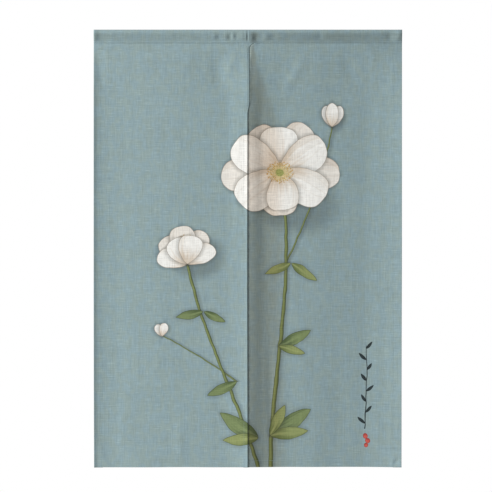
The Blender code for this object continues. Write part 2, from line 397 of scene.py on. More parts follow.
def make_weave_group():
    """Plain weave: threads under and over each other, thicker slubs along both, and cloudy dyeing."""
    tree, given, out = new_group(
        "linen weave",
        {"Vector": "Place", "Float": "Thread Pitch, Slub"},
        {"Float": "Tone, Warm, Height"},
    )
    place = given["Place"]
    across, up = split(place)
    turns = over(3.14159, given["Thread Pitch"])
    waver = times(noise(place, (0.012, 0.012), 1), 3)
    warp = math("SINE", plus(times(across, turns), waver))
    weft = math("SINE", plus(times(up, turns), waver))
    crossing = times(warp, weft)

    weft_slub = noise(place, (0.026, 0.0019))
    warp_slub = noise(place, (0.0021, 0.03))
    weft_thread = noise(place, (0.16, 0.0016), 1)
    warp_thread = noise(place, (0.0018, 0.2), 1)
    streaks = plus(times_plus(weft_slub, 0.85, -0.425), minus(warp_slub, 0.5))
    threads = plus(minus(weft_thread, 0.5), minus(warp_thread, 0.5))
    bold = ramp(weft_slub, 0.66, 0.8, 0, 0.16)
    uneven = plus(times(streaks, 0.34), times(threads, 0.21))
    uneven = times(plus(uneven, bold), given["Slub"])
    cloudy = minus(noise(place, (0.055, 0.075), 3), 0.5)
    tone = plus(times(crossing, 0.05), uneven)
    join(plus(tone, times(cloudy, 0.07)), out["Tone"])
    join(ramp(noise(place, (0.02, 0.03)), 0.35, 0.65), out["Warm"])
    join(plus(times(crossing, 0.35), times(uneven, 0.9)), out["Height"])
    return tree


WEAVE = make_weave_group()

# The dyed colour where it is cooler, and where it is greener
DYED = ((0.285, 0.394, 0.428), (0.298, 0.394, 0.397))
THREAD_PITCH = 0.0009
SLUB = 1


def make_cloth_material(name, tint, painted_shade_at=None):
    """Matt dyed cloth, which the weave tones and raises. Its dyed colour goes through one Mix node,
    where the print joins it. Where a painted-shade function is given, it gives painted shade, and on the
    pocket a painted highlight, as a colour by which all of it is multiplied."""
    material, tree, shader = new_material(name)
    node = tree.nodes.new("ShaderNodeUVMap")
    node.uv_map = "flat cloth"
    place = node.outputs[0]
    weave = place_group(WEAVE, place, THREAD_PITCH, SLUB)
    cool, green = (tuple(value * tint for value in colour) + (1,) for colour in DYED)
    dyed = mix(weave["Warm"], cool, green)
    printed = mix(0, dyed, dyed)
    printed.node.name = "printed cloth"
    given = {"Vector": printed, "Scale": plus(1, weave["Tone"])}
    toned_and_shaded = add_node("VectorMath", given, operation="SCALE").outputs[0]
    # Painted shade and highlight multiply the whole colour, the print and the weave's tone too.
    if painted_shade_at:
        toned_and_shaded = vector("MULTIPLY", toned_and_shaded, painted_shade_at(place))
    join(toned_and_shaded, shader.inputs["Base Color"])
    join(plus(0.9, times(weave["Tone"], -0.2)), shader.inputs["Roughness"])
    raised = add_node("Bump", {"Height": weave["Height"], "Strength": 0.5, "Distance": 0.0003})
    join(raised.outputs[0], shader.inputs["Normal"])
    shader.inputs["Specular IOR Level"].default_value = 0.25
    shader.inputs["Sheen Weight"].default_value = 0.12
    shader.inputs["Sheen Roughness"].default_value = 0.5
    return material


left_points, left_flat = panel_grid(left_side, slit_line, OUTER_HEM, SLIT_HEM, left_forward)
left_looks = [make_cloth_material("left cloth", 1), make_cloth_material("left cloth back", 0.97)]
left_cloth = sheet_piece("left_cloth", left_points, left_flat, left_looks)
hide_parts("left_panel")
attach(left_cloth, "root")

# Right panel
#    The same cloth, hemmed the same way. Its inner edge lies behind the left panel's, is sewn to it
#    over the top fifth, and hangs free in its shade below that.

RIGHT_FOLDS = (
    (0, 0, 0.5, -1, -1, -1, -1),
    (20, 20, 0.5, -3.4, -4.5, -4.4, -4.8),
    (36, 78, 0.5, -5.2, -7.7, -11.2, -13),
    (95, 118, 0.5, -6.8, -11.2, -13.5, -14.6),
    (170, 185, 0.5, -6, -11, -13.5, -14),
    (250, 250, 0.5, -7.5, -12.5, -15, -15.5),
    (318, 312, 0.5, -8.5, -13, -15.5, -16),
    (370, 366, 0.5, -6, -9.5, -11.5, -12),
    (400, 398, 0.5, -3.5, -5.5, -7, -7),
    (422.5, 422.5, 0.5, -0.5, -1.5, -2.5, -2),
)
RIM_PLACE = 0.0024
RIM_HALF = 0.0022
RIM_HEIGHT = 0.0012
HEAD_RIM_PLACE = 0.0055
HEAD_RIM_HALF = 0.0075
HEAD_RIM_HEIGHT = 0.0014
HEAD_RIM_DROP = 0.095
HEAD_RIM_FADE = 0.035
RIGHT_CREASES = (
    (172, 44, 82, 205, 13, 1.2),
    (268, 50, 286, 150, 17, -1.1),
    (330, 44, 352, 120, 12, 0.7),
    (60, 840, 64, 1200, 9, -1),
    (142, 700, 150, 1080, 30, 0.8),
    (250, 900, 262, 1200, 26, -0.8),
    (400, 1196, 414, 1172, 3.5, -1),
    (392, 1199, 408, 1160, 5, 1.1),
    (346, 1020, 372, 1190, 16, 0.7),
    (404, 60, 392, 210, 8, 0.6),
)


def right_side(drop):
    """Where the right panel's outer edge lies across, at each drop."""
    return HALF_WIDTH - listed_line(SIDE_LINES, drop, 2)


def right_forward(across, drop):
    """The right panel's own folds, eased at the slit into a strip parallel to the left panel's back. A
    thin rim stands beside the seam, half as high in its lower part, and a wider one below the pocket."""
    edge = slit_line(drop)
    gap = SEWN_GAP + (FREE_GAP - SEWN_GAP) * eased((drop - SEWN_DOWN_TO) / SLIT_RELEASE)
    behind = left_plain_forward(np.minimum(across, edge), drop) - gap
    own = (
        folds_forward(RIGHT_FOLDS, across, drop)
        + creases_forward(RIGHT_CREASES, across, drop)
        + hem_ripple(right_side(drop) - across, drop + 0.31, OUTER_HEM)
    )
    beside = 1 - np.clip((across - edge) / SLIT_EASE, 0, 1)
    sewn = 0.5 * eased((0.22 - drop) / 0.03) + 0.5 * eased((0.12 - drop) / 0.06)
    head = eased((HEAD_RIM_DROP - drop) / HEAD_RIM_FADE)
    rim = RIM_HEIGHT * sewn * (1 - 0.6 * head) * bell(across - edge - RIM_PLACE, RIM_HALF)
    head_rim = HEAD_RIM_HEIGHT * head * bell(across - edge - HEAD_RIM_PLACE, HEAD_RIM_HALF)
    head_rim = head_rim * eased((across - edge) / 0.004)
    return behind + (own - behind) * (1 - beside**2) + rim + head_rim


UNSHADED = (1, 1, 1, 1)


def painted_slit_shade(place):
    """Painted shade beside the slit, standing in for the shadow and the turned-away cloth there: browner
    and darker, in a zone that widens down the panel and fades away at its uneven outer edge."""
    across, up = split(place)
    inner = ramp(up, -0.34, -0.04, 0.066, 0.014)
    outer = ramp(up, -0.34, -0.04, 0.12, 0.024)
    uneven = times_plus(noise(place, (0.03, 0.14)), 0.024, -0.012)
    shade_zone = fade(plus(across, uneven), inner, outer)
    # The brownish colour mixed in here is painted shade.
    return mix(shade_zone, UNSHADED, (0.93, 0.85, 0.78, 1))


def right_slit(drop):
    """Where the right panel's inner edge lies across, behind the left panel."""
    return slit_line(drop) - LAP


right_points, right_flat = panel_grid(right_slit, right_side, SLIT_HEM, OUTER_HEM, right_forward)
# The right panel's tints sit a little below the left panel's. This is painted shade that darkens all its
# cloth.
right_front = make_cloth_material("right cloth", 0.965, painted_slit_shade)
right_looks = [right_front, make_cloth_material("right cloth back", 0.94)]
right_cloth = sheet_piece("right_cloth", right_points, right_flat, right_looks)
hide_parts("right_panel")
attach(right_cloth, "root")

# Rod pocket
#    One strip of the cloth folded over the pole's place, its two edges stitched together over the
#    heads of both panels. It is open at both ends, and puckers where the seam and the stitches pull.

POCKET_OUT = pocket_high[1]
POCKET_FOOT_OUT = 0.00125
POCKET_FOOT = 0.0055
POCKET_COLUMNS = 400
SEAM_COLUMNS = 40
SEAM_LUMP = 0.0022
SEAM_LUMP_PLACE = 0.006
SEAM_LUMP_HALF = 0.013

# Puckers of the pocket's front, in millimetres: across, drop, half across, half down, forward
POCKET_DENTS = (
    (-420.5, 22, 9.5, 20, 2.9),
    (-372, 20, 9, 14, 0.5),
    (-186, 20, 14, 9, -0.6),
    (-110, 20, 12, 9, 0.4),
    (-92, 20, 8, 8, 1.1),
    (-80, 21, 8, 8, -1.1),
    (-60, 21, 6, 9, 0.9),
    (-49, 21, 6, 9, -1.2),
    (-41, 18, 4.5, 8, 0.9),
    (-32, 18, 5, 8, -0.9),
    (-13, 20, 9, 13, 1.3),
    (-5.5, 20, 2.6, 18, 0.8),
    (-0.4, 24, 2.2, 20, -0.5),
    (3, 22, 2.2, 20, 0.5),
    (11, 24, 5, 10, 0.4),
    (22, 25, 7, 11, -1.5),
    (34, 22, 9, 9, -0.7),
    (51, 21, 9, 9, 1.3),
    (70, 22, 8, 9, -0.8),
    (118, 22, 14, 9, -0.5),
    (146, 20, 14, 12, 0.5),
    (196, 20, 10, 10, -0.9),
    (212, 14, 12, 10, 0.7),
    (330, 22, 22, 10, -0.6),
    (389, 22, 9, 16, -1.1),
    (415, 8, 9, 9, 1.5),
    (414, 20, 10, 9, 1.6),
    (409, 32, 9, 8, 1.6),
)


def pocket_forward(across, drop):
    """Sum of soft round dents and swellings on the pocket's front."""
    total = np.zeros_like(across)
    for x, z, wide, high, forward in np.array(POCKET_DENTS) * MM:
        total += forward * bell(across - x, wide) * bell(drop - z, high)
    return total


def pocket_grid():
    """The pocket: one profile carried along X. The profile is a half thickness that is level over
    the stitched foot, widens in a straight line and closes in a round over the pole."""
    radius = POCKET_OUT
    lean = np.arctan2(radius - POCKET_FOOT_OUT, POCKET_HEIGHT - POCKET_FOOT - radius)
    turn = np.linspace(-lean, np.pi / 2, 17)
    over_out = radius * np.cos(turn)
    over_drop = radius - radius * np.sin(turn)
    wall = np.linspace(0, 1, 14)[1:-1]
    foot_drop = POCKET_HEIGHT - POCKET_FOOT
    wall_out = POCKET_FOOT_OUT + (over_out[0] - POCKET_FOOT_OUT) * wall
    wall_drop = foot_drop + (over_drop[0] - foot_drop) * wall
    sole = np.array([0, 0.35, 0.7, 1])
    out = np.hstack([np.full(len(sole), POCKET_FOOT_OUT), wall_out, over_out])
    drop = np.hstack([POCKET_HEIGHT - POCKET_FOOT * sole, wall_drop, over_drop])
    out = np.hstack([out, -out[-2::-1]])[:, None]
    drop = np.hstack([drop, drop[-2::-1]])[:, None]
    even = np.linspace(-HALF_WIDTH, HALF_WIDTH, POCKET_COLUMNS)
    near_seam = np.linspace(-0.011, 0.029, SEAM_COLUMNS)
    across = np.unique(np.hstack([even, near_seam])) + np.zeros_like(out)
    front = eased(out / radius * 2.6) * eased((POCKET_HEIGHT - drop) / POCKET_FOOT)
    seam_lump = SEAM_LUMP * bell(across - SEAM_LUMP_PLACE, SEAM_LUMP_HALF) * (out < 0)
    forward = out + pocket_forward(across, drop) * front - seam_lump
    walk = np.hstack([[0], np.cumsum(np.hypot(np.diff(out[:, 0]), np.diff(drop[:, 0])))])
    points = np.stack([across, -forward, np.broadcast_to(-drop, across.shape)], axis=-1)
    flat = np.stack([across, np.broadcast_to((walk - POCKET_HEIGHT)[:, None], across.shape)], axis=-1)
    return points, flat, walk[-1]


def pocket_painted_shade(place):
    """Painted shade and a painted highlight on the pocket's cloth: greyer on its right half, most of all
    next to the seam and in the hollow below the pole, less so at its right end, and lighter along its top
    fold."""
    across, up = split(place)
    half = ramp(across, -0.004, 0.012, 0, 0.13)
    right = times(ramp(across, 0.1, 0.2), ramp(across, 0.27, 0.34, 0.09, 0.04))
    beside = times(ramp(across, 0.004, 0.013), fade(across, 0.018, 0.036, 0.4))
    from_fold = math("ABSOLUTE", minus(up, FOLD_UP))
    painted_hollow_shade = times(ramp(from_fold, 0.016, 0.023), fade(from_fold, 0.03, 0.037, 0.05))
    # Painted highlight along the top fold, where the light catches it.
    painted_fold_highlight = fade(from_fold, 0.005, 0.019)
    share = plus(plus(half, right), plus(beside, painted_hollow_shade))
    share = times(share, ramp(across, 0.37, 0.405, 1, 0.25))
    # Painted shade: a grey mixed in by the share.
    painted_grey_shade = mix(share, UNSHADED, (0.34, 0.3, 0.26, 1))
    return mix(painted_fold_highlight, painted_grey_shade, (1.17, 1.17, 1.17, 1))


pocket_points, pocket_flat, pocket_girth = pocket_grid()
FOLD_UP = float(pocket_girth) / 2 - POCKET_HEIGHT
# The pocket's tint is lower than the panels'. This is painted shade that darkens its band.
pocket_front = make_cloth_material("pocket cloth", 0.94, pocket_painted_shade)
pocket_looks = [pocket_front, make_cloth_material("pocket inside", 0.92)]
pocket_cloth = sheet_piece("pocket_cloth", pocket_points[::-1], pocket_flat[::-1], pocket_looks)
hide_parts("rod_pocket")
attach(pocket_cloth, "root")

# Printed spray
#    White garden blossoms with golden stamens, on olive stems that rise from the foot, and a small ink
#    sprig low on the right panel. It is printed on the cloth, so the weave shows through it.

IVORY = ((0.95, 0.94, 0.905, 1), (0.7, 0.6, 0.49, 1), (0.27, 0.215, 0.16, 1))
BLUSH = ((0.86, 0.82, 0.76, 1), (0.6, 0.49, 0.385, 1), (0.25, 0.195, 0.145, 1))
LEAF = ((0.205, 0.265, 0.11, 1), (0.085, 0.125, 0.045, 1), (0.045, 0.062, 0.022, 1))
YOUNG_LEAF = ((0.285, 0.33, 0.125, 1), (0.135, 0.175, 0.055, 1), (0.06, 0.075, 0.025, 1))
STEM = ((0.225, 0.27, 0.095, 1), (0.075, 0.1, 0.03, 1), (0.036, 0.048, 0.016, 1))
INK = ((0.022, 0.034, 0.036, 1), (0.01, 0.016, 0.018, 1), (0.007, 0.012, 0.013, 1))
BERRY = ((0.62, 0.105, 0.08, 1), (0.4, 0.045, 0.035, 1), (0.3, 0.03, 0.025, 1))

# Blossoms and buds, back petals first: colours, base across, base drop in millimetres, then petals:
#    turn in degrees from level, length, half width, bend, fullness of the base, tip, shaded side
OPEN_BACK = (
    (58, 148, 49, 0.16, 0.62, 0.36, 0.6),
    (122, 140, 48, -0.14, 0.62, 0.36, -0.4),
    (2, 164, 47, -0.16, 0.65, 0.4, 0.6),
    (181, 160, 48, 0.14, 0.65, 0.4, -0.5),
    (268, 118, 50, 0.05, 0.6, 0.34, 0.4),
)
OPEN_FRONT = (
    (91, 125, 53, 0.04, 0.6, 0.32, 0.3),
    (31, 146, 49, 0.16, 0.62, 0.36, 0.6),
    (151, 148, 50, -0.16, 0.62, 0.36, -0.4),
    (330, 140, 51, 0.14, 0.6, 0.34, 0.5),
    (219, 138, 52, -0.1, 0.6, 0.34, -0.3),
    (278, 104, 45, -0.06, 0.6, 0.32, 0.4),
)
CUP_BACK = (
    (134, 96, 31, 0.2, 0.7, 0.4, -0.5),
    (66, 98, 31, -0.18, 0.7, 0.4, 0.6),
    (100, 102, 36, 0.02, 0.6, 0.36, 0.3),
)
CUP_FRONT = (
    (158, 84, 28, 0.34, 0.7, 0.42, -0.5),
    (38, 86, 28, -0.3, 0.7, 0.42, 0.6),
    (118, 76, 32, 0.12, 0.66, 0.36, -0.4),
    (82, 78, 33, -0.08, 0.66, 0.36, 0.5),
)
TALL_BUD = (
    (104, 60, 19, 0.2, 0.7, 0.55, -0.5),
    (72, 61, 19, -0.16, 0.7, 0.55, 0.6),
    (90, 66, 19, 0.05, 0.72, 0.6, 0.5),
)
SMALL_BUD = (
    (112, 34, 12, 0.2, 0.7, 0.45, -0.5),
    (76, 36, 13, -0.1, 0.7, 0.45, 0.6),
)

# Leaflets: base across, base drop, turn in degrees, length, half width, bend, shaded side
LEAVES = (
    (120, 640, 322, 84, 13, 0.35, -0.6),
    (118, 640, 206, 76, 12, -0.35, 0.6),
    (-122, 772, 196, 78, 12, -0.4, -0.6),
    (-120, 772, 330, 66, 11, 0.35, 0.6),
    (86, 868, 24, 98, 16, 0.3, 0.6),
    (86, 868, 342, 74, 12, 0.3, -0.6),
    (-30, 966, 208, 90, 14, -0.3, -0.6),
    (62, 1112, 30, 132, 22, 0.32, 0.6),
    (62, 1112, 4, 104, 17, 0.3, -0.6),
    (62, 1112, 66, 92, 15, -0.25, 0.5),
    (28, 1120, 150, 126, 21, -0.34, -0.6),
    (28, 1120, 186, 98, 16, -0.32, 0.5),
)

# Stems: head across, head drop, foot across, foot drop, sway, curl, half width
STEMS = (
    (232, 262, 104, 640, 60, 0, 2.4),
    (-236, 838, -30, 966, 38, 0, 2),
    (92, 420, 62, 1206, 66, 90, 5.6),
    (-166, 640, 30, 1206, -26, -60, 4.8),
)

# Ink sprig: across, drop of its head, step between its leaves in millimetres, leaves
SPRIG = (324, 852, 29, 8)

# Berries under the ink sprig, listed as the leaflets are
BERRIES = (
    (324, 1106, 262, 15, 6, 0.1, -0.6),
    (327, 1119, 280, 15, 6.5, -0.1, 0.6),
    (325, 1133, 258, 13, 5.5, 0.1, -0.6),
)

# Soft printed shadows: across, drop, half width, half height, turn in degrees
SHADOWS = (
    (122, 462, 156, 112, -20),
    (-138, 622, 92, 76, 0),
    (244, 246, 30, 42, 0),
)


def turned(place, angle):
    given = {"Vector": place, "Angle": angle}
    return add_node("VectorRotate", given, rotation_type="Z_AXIS").outputs[0]


def cells(place, scale, random):
    """How far each place is from the middle of the nearest of some scattered cells."""
    given = {"Vector": place, "Scale": scale, "Randomness": random}
    return add_node("TexVoronoi", given, voronoi_dimensions="2D").outputs["Distance"]


INKED = "Under, Light, Dark, Line"
CONTACT_SHADE = (0.045, 0.052, 0.048, 1)
HAND_ON_SHARE = (1e-10, 1e-10, 1e-10)


def new_painting(name, colours, places, values):
    """A group for one kind of painted thing. It takes the colour under it and the place on the cloth,
    and puts out both for the thing painted after it. Its values are also returned as a list."""
    inputs = {"Color": colours, "Vector": places, "Float": values}
    tree, given, out = new_group(name, inputs, {"Color": "Colour", "Vector": "Place"})
    return tree, given, out, [given[label] for label in values.split(", ")]


def hand_on(given, out, colour):
    """Puts out the painted colour, and the place for the next thing painted. A share of the colour far
    below the place's last digit is added to it, so each thing is worked out after the one before."""
    join(vector("MULTIPLY_ADD", colour, HAND_ON_SHARE, given["Place"]), out["Place"])
    join(colour, out["Colour"])


def make_petal_group():
    """A painted petal or leaflet. t runs from 0 at its base to 1 at its tip, and its half width there
    is a share t^full (1 - t)^tip, about a midline bent by bend times t squared. The depth inside that
    edge draws the outline, and the depth outside it a contact shade. Fine strokes and veins fan from
    the base, and the colour darkens to the base and to one side."""
    values = "Turn, Length, Half Width, Bend, Full, Tip, Shaded Side, Veins, Rib, Shade"
    tree, given, out, values = new_painting("painted petal", INKED, "Place, Base", values)
    turn, length, half, bend, full, tip, shaded_side, veins, rib, shade = values
    own = turned(vector("SUBTRACT", given["Place"], given["Base"]), turn)
    along, aside = split(own)
    plain_t = over(along, length)
    t = math("MINIMUM", math("MAXIMUM", plain_t, 0.001), 0.999)
    left = minus(1, t)
    bent = times(times(t, t), bend)
    across = minus(over(aside, half), bent)
    width = times(math("POWER", t, full), math("POWER", left, tip))
    past = times(math("ABSOLUTE", minus(plain_t, t)), length)
    inside = minus(width, math("ABSOLUTE", across))
    inside = times(inside, half)
    lean = minus(over(full, t), over(tip, left))
    slope = times(times(lean, width), half)
    slope = over(slope, length)
    square = times_plus(slope, slope, 1)
    within = times(math("MAXIMUM", inside, 0), math("INVERSE_SQRT", square))
    outside = minus(math("MINIMUM", inside, 0), past)
    depth = plus(within, outside)

    fan = over(across, math("MAXIMUM", width, 0.08))
    fan = math("MINIMUM", math("MAXIMUM", fan, -1), 1)
    brush = paired(times_plus(fan, 5, times(turn, 9)), times(plain_t, 1.3))
    strokes = noise(brush, (1, 1))
    vein = math("COSINE", times_plus(fan, 15, times(strokes, 5)))
    vein = ramp(vein, 0.8, 1, 0, veins)
    base = fade(times_plus(strokes, -0.25, t), -0.12, 0.55)
    side = ramp(times(fan, shaded_side), 0, 0.75, 0, 0.6)
    ribbed = fade(math("ABSOLUTE", across), 0.02, 0.1, rib)
    tone = plus(plus(base, side), times_plus(strokes, 0.5, -0.28))
    tone = plus(tone, minus(vein, ribbed))
    painted = mix(tone, given["Light"], given["Dark"])
    edge = fade(depth, 0.0005, times_plus(strokes, 0.002, 0.001), 0.85)
    painted = mix(edge, painted, given["Line"])

    near = ramp(depth, -0.013, 0, 0, shade)
    shaded = mix(near, given["Under"], CONTACT_SHADE)
    hand_on(given, out, mix(ramp(depth, -0.0004, 0.0005), shaded, painted))
    return tree


def make_stem_group():
    """A painted stem. u runs from 0 at its head to 1 at its foot, and its middle lies on the straight
    line between them plus sway u (1 - u) and curl u (1 - u) (1 - 2u). It has a light line on its left,
    a dark right side and a soft shade cast to the right."""
    values = "Head Across, Head Up, Foot Across, Foot Up, Sway, Curl, Half Width"
    tree, given, out, values = new_painting("painted stem", INKED, "Place", values)
    head_across, head_up, foot_across, foot_up, sway, curl, half_width = values
    across, up = split(given["Place"])
    length = minus(head_up, foot_up)
    u = over(minus(head_up, up), length)
    bow = times(u, minus(1, u))
    wind = times(curl, times_plus(u, -2, 1))
    bow = times(bow, plus(sway, wind))
    reach = minus(foot_across, head_across)
    middle = plus(times_plus(reach, u, head_across), bow)
    half = times(half_width, times_plus(u, 0.35, 0.75))
    off = minus(across, middle)
    share = over(off, half)
    within = times(ramp(u, -0.004, 0.002), fade(u, 0.998, 1.004))
    body = times(fade(math("ABSOLUTE", share), 0.88, 1.12), within)
    grain = noise(given["Place"], (0.0016, 0.05))
    tone = ramp(math("ABSOLUTE", plus(share, 0.3)), 0.05, 1.15)
    tone = plus(tone, times_plus(grain, 0.7, -0.35))
    painted = mix(tone, given["Light"], given["Dark"])
    edge = ramp(math("ABSOLUTE", share), 0.7, 1, 0, 0.8)
    painted = mix(edge, painted, given["Line"])
    cast = math("ABSOLUTE", minus(off, 0.005))
    cast = times(fade(cast, 0.001, 0.013, 0.3), within)
    shaded = mix(cast, given["Under"], CONTACT_SHADE)
    hand_on(given, out, mix(body, shaded, painted))
    return tree


def make_stamens_group():
    """A blossom's middle, in polar places about it: fine threads that fan out to a ring of anthers,
    which are random dots, round a green dome pitted by cells. Depth is the ring's height by its width."""
    values = "Radius, Depth, Dome"
    tree, given, out, values = new_painting("painted stamens", "Under", "Place, Middle", values)
    radius, depth, dome = values
    own = vector("SUBTRACT", given["Place"], given["Middle"])
    across, up = split(own)
    up = over(up, depth)
    squares = plus(times(across, across), times(up, up))
    share = over(math("SQRT", squares), radius)
    turn = math("ARCTAN2", up, across)
    ragged = noise(given["Place"], (0.004, 0.004), 1)
    warmth = fade(times_plus(ragged, 0.5, share), 0.45, 1.45, 0.75)
    colour = mix(warmth, given["Under"], (0.5, 0.4, 0.12, 1))
    threads = ramp(math("COSINE", times_plus(turn, 34, times(ragged, 7))), 0.15, 0.95)
    ring = times(ramp(share, 0.28, 0.4), fade(share, 0.8, 1))
    colour = mix(times(threads, ring), colour, (0.86, 0.74, 0.36, 1))
    near_anther = cells(paired(times(turn, 5.4), times(share, 4.6)), 1, 0.85)
    dots = fade(near_anther, 0.22, 0.34)
    where = times(ramp(share, 0.52, 0.62), fade(share, 1.06, 1.16))
    dots = times(dots, where)
    anther = mix(ramp(near_anther, 0.05, 0.3), (0.82, 0.5, 0.09, 1), (0.3, 0.15, 0.03, 1))
    colour = mix(dots, colour, anther)
    pits = cells(given["Place"], 420, 1)
    dome_tone = times_plus(pits, 1.1, over(share, 2.2))
    green = mix(dome_tone, (0.56, 0.6, 0.2, 1), (0.2, 0.24, 0.07, 1))
    edge = minus(share, dome)
    hand_on(given, out, mix(fade(edge, -0.03, 0.04), colour, green))
    return tree


def make_shadow_group():
    """A soft printed shadow: an ellipse that fades from its middle to its edge."""
    values = "Turn, Half Width, Half Height"
    tree, given, out, values = new_painting("soft shadow", "Under", "Place, Middle", values)
    turn, half_width, half_height = values
    own = turned(vector("SUBTRACT", given["Place"], given["Middle"]), turn)
    along, aside = split(own)
    along = over(along, half_width)
    aside = over(aside, half_height)
    squares = plus(times(along, along), times(aside, aside))
    dark = fade(math("SQRT", squares), 0.55, 1, 0.42)
    hand_on(given, out, mix(dark, given["Under"], (0.06, 0.072, 0.068, 1)))
    return tree


SPRIG_LEAF_BASE = (0.0004, -0.0245, 0)


def make_sprig_group():
    """An upright ink sprig: one leaf, drawn again at each step down a thin stem, on each side in turn.
    The place is folded back into the first step, and each leaf turns and grows by waves of its number."""
    values = "Head Across, Head Up, Step, Leaves"
    tree, given, out, values = new_painting("ink sprig", INKED, "Place", values)
    head_across, head_up, step, leaves = values
    across, up = split(given["Place"])
    down = over(minus(head_up, up), step)
    bend = times(math("SINE", times(down, 0.55)), 0.0028)
    own_across = minus(minus(across, head_across), bend)
    inside = math("LESS_THAN", down, leaves)
    inside = times(inside, math("GREATER_THAN", down, 0))
    thin = times_plus(down, 0.00008, 0.00055)
    body = fade(math("ABSOLUTE", own_across), thin, plus(thin, 0.0005))
    ends = math("LESS_THAN", down, plus(leaves, 0.35))
    ends = times(ends, math("GREATER_THAN", down, 0.55))
    drawn = mix(times(body, ends), given["Under"], given["Dark"])
    number = math("FLOOR", down)
    side = times_plus(math("FLOORED_MODULO", number, 2), -2, 1)
    away = times_plus(inside, -1, 1)
    folded = paired(plus(times(own_across, side), away), times(minus(number, down), step))
    wave = math("SINE", times(number, 2.1))
    turn = times_plus(wave, 0.14, -0.8)
    length = times_plus(wave, 0.0022, 0.0255)
    inks = (given["Light"], given["Dark"], given["Line"])
    values = (SPRIG_LEAF_BASE, turn, length, 0.0125, 0.12, 0.72, 0.85, 0.5, 0.3, 0, 0)
    leaf = place_group(PETAL, drawn, *inks, folded, *values)
    hand_on(given, out, leaf["Colour"])
    return tree


PETAL = make_petal_group()
INK_SPRIG = make_sprig_group()
PAINTED_STEM = make_stem_group()
STAMENS = make_stamens_group()
SOFT_SHADOW = make_shadow_group()
HALF_WIDTH_MM = HALF_WIDTH / MM


def petal(
    across, drop, turn, length, half, bend, full, tip, shaded, colours, veins=0.16, rib=0, shade=0.34
):
    """One painted petal: its group, how far across it reaches from and to, its colours, and its values.
    The half width is divided by the highest share that the group's width formula reaches."""
    most = (full / (full + tip)) ** full * (tip / (full + tip)) ** tip
    base = (across * MM, -drop * MM, 0)
    shape = (-np.radians(turn), length * MM, half / most * MM, bend * most, full, tip)
    reach = (across - length - 15, across + length + 15)
    return PETAL, reach, colours, (base, *shape, shaded, veins, rib, shade)


def petals(across, drop, table, colours):
    return [petal(across, drop, *row, colours) for row in table]


def leaflet(across, drop, turn, length, half, bend, shaded):
    colours = LEAF if shaded * bend > 0 else YOUNG_LEAF
    return petal(across, drop, turn, length, half, bend, 0.72, 0.85, shaded, colours, 0.3, 0.9, 0.22)


def berry(across, drop, turn, length, half, bend, shaded):
    return petal(across, drop, turn, length, half, bend, 0.5, 0.5, shaded, BERRY, 0, 0, 0)


def stem(head_across, head_drop, foot_across, foot_drop, sway, curl, half):
    """One painted stem. Its half width is level across it, so a slanting stem's is wider."""
    slant = np.hypot(1, (foot_across - head_across) / (foot_drop - head_drop))
    values = np.array((head_across, -head_drop, foot_across, -foot_drop, sway, curl, half * slant)) * MM
    low, high = sorted((head_across, foot_across))
    return PAINTED_STEM, (low - 30, high + 30), STEM, values.tolist()


def stamens(across, drop, radius, depth, dome):
    values = ((across * MM, -drop * MM, 0), radius * MM, depth, dome)
    return STAMENS, (across - radius - 5, across + radius + 5), (), values


def shadow(across, drop, half_width, half_height, turn):
    values = ((across * MM, -drop * MM, 0), -np.radians(turn), half_width * MM, half_height * MM)
    return SOFT_SHADOW, (across - half_width, across + half_width), (), values


def sprig(across, drop, step, leaves):
    return INK_SPRIG, (across - 30, across + 30), INK, (across * MM, -drop * MM, step * MM, leaves)


SPRAY = (
    [shadow(*row) for row in SHADOWS]
    + [stem(*row) for row in STEMS]
    + [leaflet(*row) for row in LEAVES]
    + petals(88, 392, OPEN_BACK, BLUSH)
    + petals(88, 392, OPEN_FRONT, IVORY)
    + [stamens(88, 391, 34, 0.82, 0.34)]
    + petals(-166, 640, CUP_BACK, BLUSH)
    + [stamens(-166, 585, 24, 0.9, 0)]
    + petals(-166, 642, CUP_FRONT, IVORY)
    + petals(232, 266, TALL_BUD, IVORY)
    + petals(-236, 840, SMALL_BUD, IVORY)
    + [sprig(*SPRIG)]
    + [berry(*row) for row in BERRIES]
)


# The whole span of the print's waver over the cloth, across and up
WARP = (0.007, 0.007, 0)


def print_on(material, start, end, strength):
    """Lays each painted thing that reaches the panel, between start and end across, over the dyed
    colour in turn. The strength is the share of it that shows."""
    nodes = material.node_tree.nodes
    printed = nodes["printed cloth"]
    place = nodes["UV Map"].outputs[0]
    colour = printed.inputs["A"].links[0].from_socket
    warp = add_node("TexNoise", {"Vector": place, "Scale": 26, "Detail": 1}).outputs["Color"]
    waver = vector("SUBTRACT", warp, (0.5, 0.5, 0.5))
    place = vector("ADD", place, vector("MULTIPLY", waver, WARP))
    for group, (low, high), inks, values in SPRAY:
        if high > start and low < end:
            painted = place_group(group, colour, *inks, place, *values)
            colour, place = painted["Colour"], painted["Place"]
    join(colour, printed.inputs["B"])
    printed.inputs["Factor"].default_value = strength


PRINT_SHOWN = 0.97
PRINT_THROUGH = 0.3
for cloth, start, end in ((left_cloth, -HALF_WIDTH_MM, 10), (right_cloth, -12, HALF_WIDTH_MM)):
    print_on(cloth.data.materials[0], start, end, PRINT_SHOWN)
    print_on(cloth.data.materials[1], start, end, PRINT_THROUGH)

# Stitches
#    Rows of lockstitch in matched thread: along the pocket's foot, down the hems, along the feet and
#    down the lap of the two panels. Each stitch is a short thread that dips into the cloth at its ends.

STITCH_PITCH = 0.0032
STITCH_LENGTH = 0.0025
THREAD = 0.00045
ROW_END = 0.003
HEAD_END = 0.002
SIDES = 6
RINGS = 5


def make_thread_material():
    """Spun polyester thread: twisted, a little glossier than the cloth."""
    material, tree, shader = new_material("sewing thread")
    place = tree.nodes.new("ShaderNodeTexCoord").outputs["Object"]
    uneven = noise(place, (0.004, 0.004), 2, "3D")
    colour = mix(uneven, (0.3, 0.42, 0.44, 1), (0.38, 0.5, 0.52, 1))
    join(colour, shader.inputs["Base Color"])
    shader.inputs["Roughness"].default_value = 0.6
    return material


